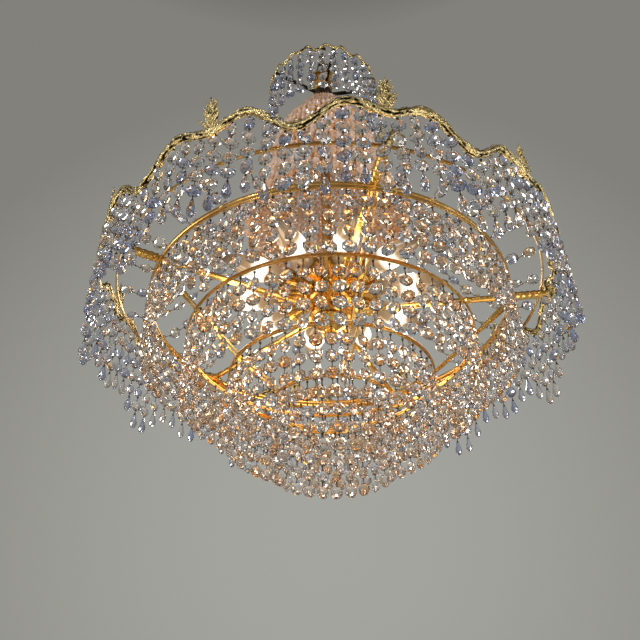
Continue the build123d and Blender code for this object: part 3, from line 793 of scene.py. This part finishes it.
print("stage: stem and crown")
stem = {
    "bell_cap": [(0.034, 0.4580), (0.0392, 0.4580), (0.0394, 0.4610), (0.0360, 0.4640), (0.0280, 0.4676),
                 (0.0200, 0.4700), (0.0140, 0.4725), (0.0110, 0.4740), (0, 0.4740), (0, 0.4600),
                 (0.030, 0.4600)],
    "crown_hub": [(0, 0.5070), (0.0130, 0.5070), (0.0178, 0.5095), (0.0178, 0.5185), (0.0130, 0.5210),
                  (0, 0.5210)],
    "top_cap": [(0, 0.5560), (0.0255, 0.5560), (0.0260, 0.5590), (0.0225, 0.5625), (0.0150, 0.5660),
                (0.0122, 0.5700), (0.0120, 0.5720), (0, 0.5720)],
    "upper_stem": [(0.0060, 0.5210), (0.0080, 0.5210), (0.0080, 0.5330), (0.0098, 0.5350), (0.0104, 0.5385),
                   (0.0098, 0.5420), (0.0080, 0.5440), (0.0080, 0.5560), (0.0060, 0.5560)],
}
stemSides = 40
for node, section in stem.items():
    mesh = bmesh.new()
    closed = node in ("bell_cap", "upper_stem")  # the other two start and end on the axis
    spunPiece(mesh, section, stemSides, shifted(0, 0, armLevel), closed=closed)
    finish = "dark" if node == "crown_hub" else "turned"
    finishPiece(node + "_turned", "chandelier", node, metal[finish], mesh)

# CAD nodes whose shape is right keep it and take a finish
finishes = {
    "dark": ("hanging_eye", "clevis", "pivot_pin", "stem_struts", "crown_spokes"),
    "tube": ("lower_stem", "straps_b_c", "straps_c_d", "straps_d_e"),
}
for finish, nodes in finishes.items():
    for node in nodes:
        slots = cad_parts[node].data.materials
        slots.clear()
        slots.append(metal[finish])

print("stage: floor, light and camera")
studio = {
    "floorLevel": -2.2, "floorSize": 12.0, "floor": "#c9c8c4",
    "greyDeep": "#82817b", "greyLight": "#a5a59f", "ceiling": "#2f3038",
    "glowWay": (0.19, 0.93, 0.32),  # where the grey backdrop is lightest
    "glowSpread": 0.80,  # cosine of the angle at which it is darkest
    "ceilingFrom": 0.86, "ceilingTo": 0.96,  # sines of the heights between which the dark ceiling comes in
    "worldLight": 0.70,
}
mesh = bmesh.new()
bmesh.ops.create_grid(mesh, x_segments=1, y_segments=1, size=studio["floorSize"],
                      matrix=shifted(0, 0, studio["floorLevel"]))
floorData = bpy.data.meshes.new("floor")
mesh.to_mesh(floorData)
mesh.free()
floorMaterial, tree, shader = newMaterial("floor_plain_matt")
shader.inputs["Base Color"].default_value = linear(studio["floor"])
shader.inputs["Roughness"].default_value = 0.9
floorData.materials.append(floorMaterial)
floor = bpy.data.objects.new("floor", floorData)
bpy.context.scene.collection.objects.link(floor)

world = bpy.data.worlds.new("studio")
bpy.context.scene.world = world
world.use_nodes = True
tree = world.node_tree
tree.nodes.clear()
path = addNode(tree, "ShaderNodeLightPath")
direct = addNode(tree, "ShaderNodeMath",
                 {0: path.outputs["Is Camera Ray"], 1: path.outputs["Is Glossy Ray"]}, operation="MAXIMUM")
seen = addNode(tree, "ShaderNodeMath", {0: direct.outputs["Value"], 1: path.outputs["Is Transmission Ray"]},
               operation="MAXIMUM")
place = addNode(tree, "ShaderNodeTexCoord")
facing = addNode(tree, "ShaderNodeVectorMath", {0: place.outputs["Generated"]}, operation="DOT_PRODUCT")
facing.inputs[1].default_value = Vector(studio["glowWay"]).normalized()
backdrop = addNode(tree, "ShaderNodeValToRGB", {"Fac": facing.outputs["Value"]})
backdrop.color_ramp.elements[0].position = studio["glowSpread"]
backdrop.color_ramp.elements[0].color = linear(studio["greyDeep"])
backdrop.color_ramp.elements[1].position = 1.0
backdrop.color_ramp.elements[1].color = linear(studio["greyLight"])
height = addNode(tree, "ShaderNodeSeparateXYZ", {0: place.outputs["Generated"]})
overhead = addNode(tree, "ShaderNodeMapRange", {"Value": height.outputs["Z"]},
                   From_Min=studio["ceilingFrom"], From_Max=studio["ceilingTo"])
upper = addNode(tree, "ShaderNodeMix", {"Factor": overhead.outputs["Result"]}, data_type="RGBA")
tree.links.new(backdrop.outputs["Color"], upper.inputs[6])
upper.inputs[7].default_value = linear(studio["ceiling"])
shown = addNode(tree, "ShaderNodeBackground", {"Color": upper.outputs[2]}, Strength=1.0)
lit = addNode(tree, "ShaderNodeBackground", Color=linear("#ffffff"), Strength=studio["worldLight"])
both = addNode(tree, "ShaderNodeMixShader",
               {0: seen.outputs["Value"], 1: lit.outputs[0], 2: shown.outputs[0]})
addNode(tree, "ShaderNodeOutputWorld", {"Surface": both.outputs[0]})

# metres and watts; inGlass says whether the crystals may show the lamp through them
lamps = {
    "key": {"at": (-1.7, -1.5, 0.3), "size": 0.5, "power": 20, "tint": "#f4f7ff", "inGlass": True},
    "fill": {"at": (1.9, -1.1, -0.2), "size": 0.6, "power": 12, "tint": "#f2f5ff", "inGlass": True},
    "back": {"at": (0.6, 2.0, 0.6), "size": 0.5, "power": 12, "tint": "#fff6ea", "inGlass": True},
    "low": {"at": (0.9, -1.3, -2.0), "size": 0.7, "power": 16, "tint": "#fff8ee", "inGlass": False},
    "lowLeft": {"at": (-1.6, 0.3, -1.7), "size": 0.7, "power": 12, "tint": "#fff8ee", "inGlass": False},
}
# the bulbs' light on the metal round them, kept out of the glass, where the bulbs themselves show
bulbLight = {"distance": 0.150, "level": -0.010, "size": 0.022, "power": 0.24, "tint": "#ffe0b8"}
for index in range(bulbs["count"]):
    data = bpy.data.lights.new(f"bulb_light_{index + 1}", "POINT")
    data.shadow_soft_size = bulbLight["size"]
    data.energy = bulbLight["power"]
    data.color = linear(bulbLight["tint"])[:3]
    light = bpy.data.objects.new(data.name, data)
    light.location = outward(front + bulbAngle * index) * bulbLight["distance"]
    light.location.z = armLevel + bulbLight["level"]
    light.visible_transmission = False
    light.visible_camera = False
    bpy.context.scene.collection.objects.link(light)

aim = Vector((0, 0, -0.6))  # about the level of the arms
for name, lamp in lamps.items():
    data = bpy.data.lights.new(name, "AREA")
    data.shape = "SQUARE"
    data.size = lamp["size"]
    data.energy = lamp["power"]
    data.color = linear(lamp["tint"])[:3]
    light = bpy.data.objects.new(name, data)
    light.location = lamp["at"]
    light.rotation_euler = (aim - light.location).to_track_quat("-Z", "Y").to_euler()
    light.visible_transmission = lamp["inGlass"]
    bpy.context.scene.collection.objects.link(light)

# the photograph's view: metres, degrees and millimetres; the heading is measured from +Y towards +X
view = {
    "at": (-0.1656, -0.7470, -1.2068), "heading": 11.44, "pitch": 35.9, "roll": -1.11,
    "lens": 37.09, "sensor": 36.0, "nearest": 0.01,
}
heading, pitch, roll = (math.radians(view[k]) for k in ("heading", "pitch", "roll"))
ahead = Vector((math.sin(heading) * math.cos(pitch), math.cos(heading) * math.cos(pitch), math.sin(pitch)))
right = Vector((math.cos(heading), -math.sin(heading), 0))
above = right.cross(ahead)
rightRolled = right * math.cos(roll) + above * math.sin(roll)
aboveRolled = above * math.cos(roll) - right * math.sin(roll)
cameraData = bpy.data.cameras.new("camera")
cameraData.lens = view["lens"]
cameraData.sensor_width = view["sensor"]
cameraData.clip_start = view["nearest"]
camera = bpy.data.objects.new("camera", cameraData)
pose = Matrix((rightRolled, aboveRolled, -ahead)).transposed().to_4x4()
camera.matrix_world = Matrix.Translation(view["at"]) @ pose
bpy.context.scene.collection.objects.link(camera)
bpy.context.scene.camera = camera
bpy.context.scene.view_settings.view_transform = "Standard"
